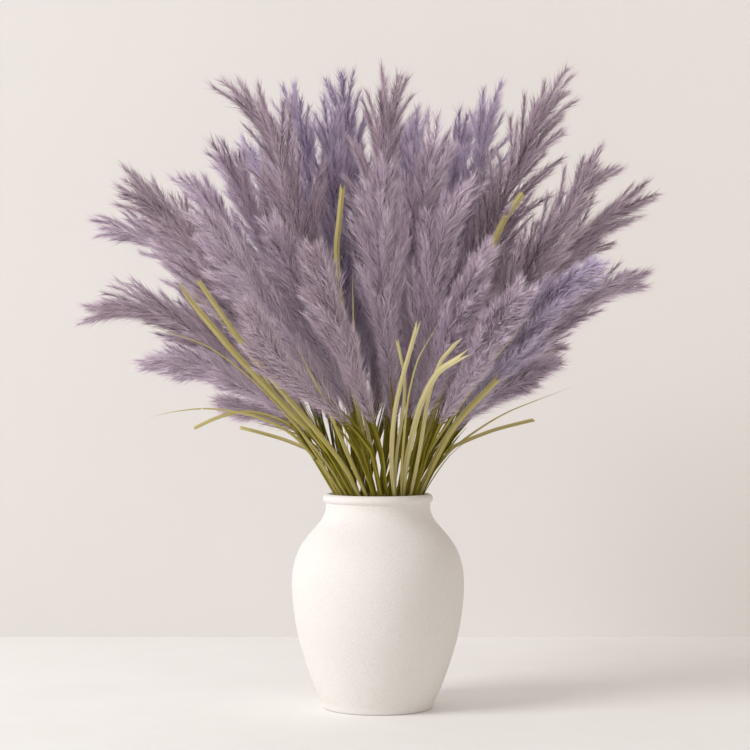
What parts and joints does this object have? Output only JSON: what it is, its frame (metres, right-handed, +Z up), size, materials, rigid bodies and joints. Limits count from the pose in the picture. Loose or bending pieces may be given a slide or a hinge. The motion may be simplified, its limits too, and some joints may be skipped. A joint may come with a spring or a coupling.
{
  "type": "bundle of pampas grass",
  "caption": "Bundle of mauve pampas grass plumes on olive stems with loose pale blades, standing in a white bisque vase with a round shoulder and a rolled rim.",
  "frame": {"origin": "middle of the vase's flat foot, on the surface it stands on", "axes": "+Z up along the vase's axis, -Y towards the front of the bundle, +X to the right seen from the front"},
  "size_m": [0.675, 0.465, 0.76],
  "materials": {
    "vase": "matte",
    "plume": "matte",
    "stem": "satin",
    "blade": "satin"
  },
  "bodies": {
    "root": {"vase": "vase", "stalk_01": "plume", "stalk_02": "plume", "stalk_03": "plume", "stalk_04": "plume", "stalk_05": "plume", "stalk_06": "plume", "stalk_07": "plume", "stalk_08": "plume", "stalk_09": "plume", "stalk_10": "plume", "stalk_11": "plume", "stalk_12": "plume", "stalk_13": "plume", "stalk_14": "plume", "stalk_15": "plume", "stalk_16": "plume", "stalk_17": "plume", "stalk_18": "plume", "stalk_19": "plume", "stalk_20": "plume", "stalk_21": "plume", "stalk_22": "plume", "stalk_23": "plume", "stalk_24": "plume", "stalk_25": "plume", "stalk_26": "plume", "stalk_27": "plume", "stalk_28": "plume", "stalk_29": "plume", "stalk_30": "plume", "stalk_31": "plume", "stalk_32": "plume", "stalk_33": "plume", "stalk_34": "plume", "stalk_35": "plume", "stalk_36": "plume", "stalk_37": "plume", "stalk_38": "plume", "blade_01": "blade", "blade_02": "blade", "blade_03": "blade", "blade_04": "blade", "blade_05": "blade", "blade_06": "blade", "blade_07": "blade", "blade_08": "blade", "blade_09": "blade", "blade_10": "blade", "blade_11": "blade", "blade_12": "blade", "blade_13": "blade", "blade_14": "blade", "blade_15": "blade", "blade_16": "blade", "blade_17": "blade", "blade_18": "blade", "blade_19": "blade", "blade_20": "blade", "blade_21": "blade"}
  },
  "joints": []
}
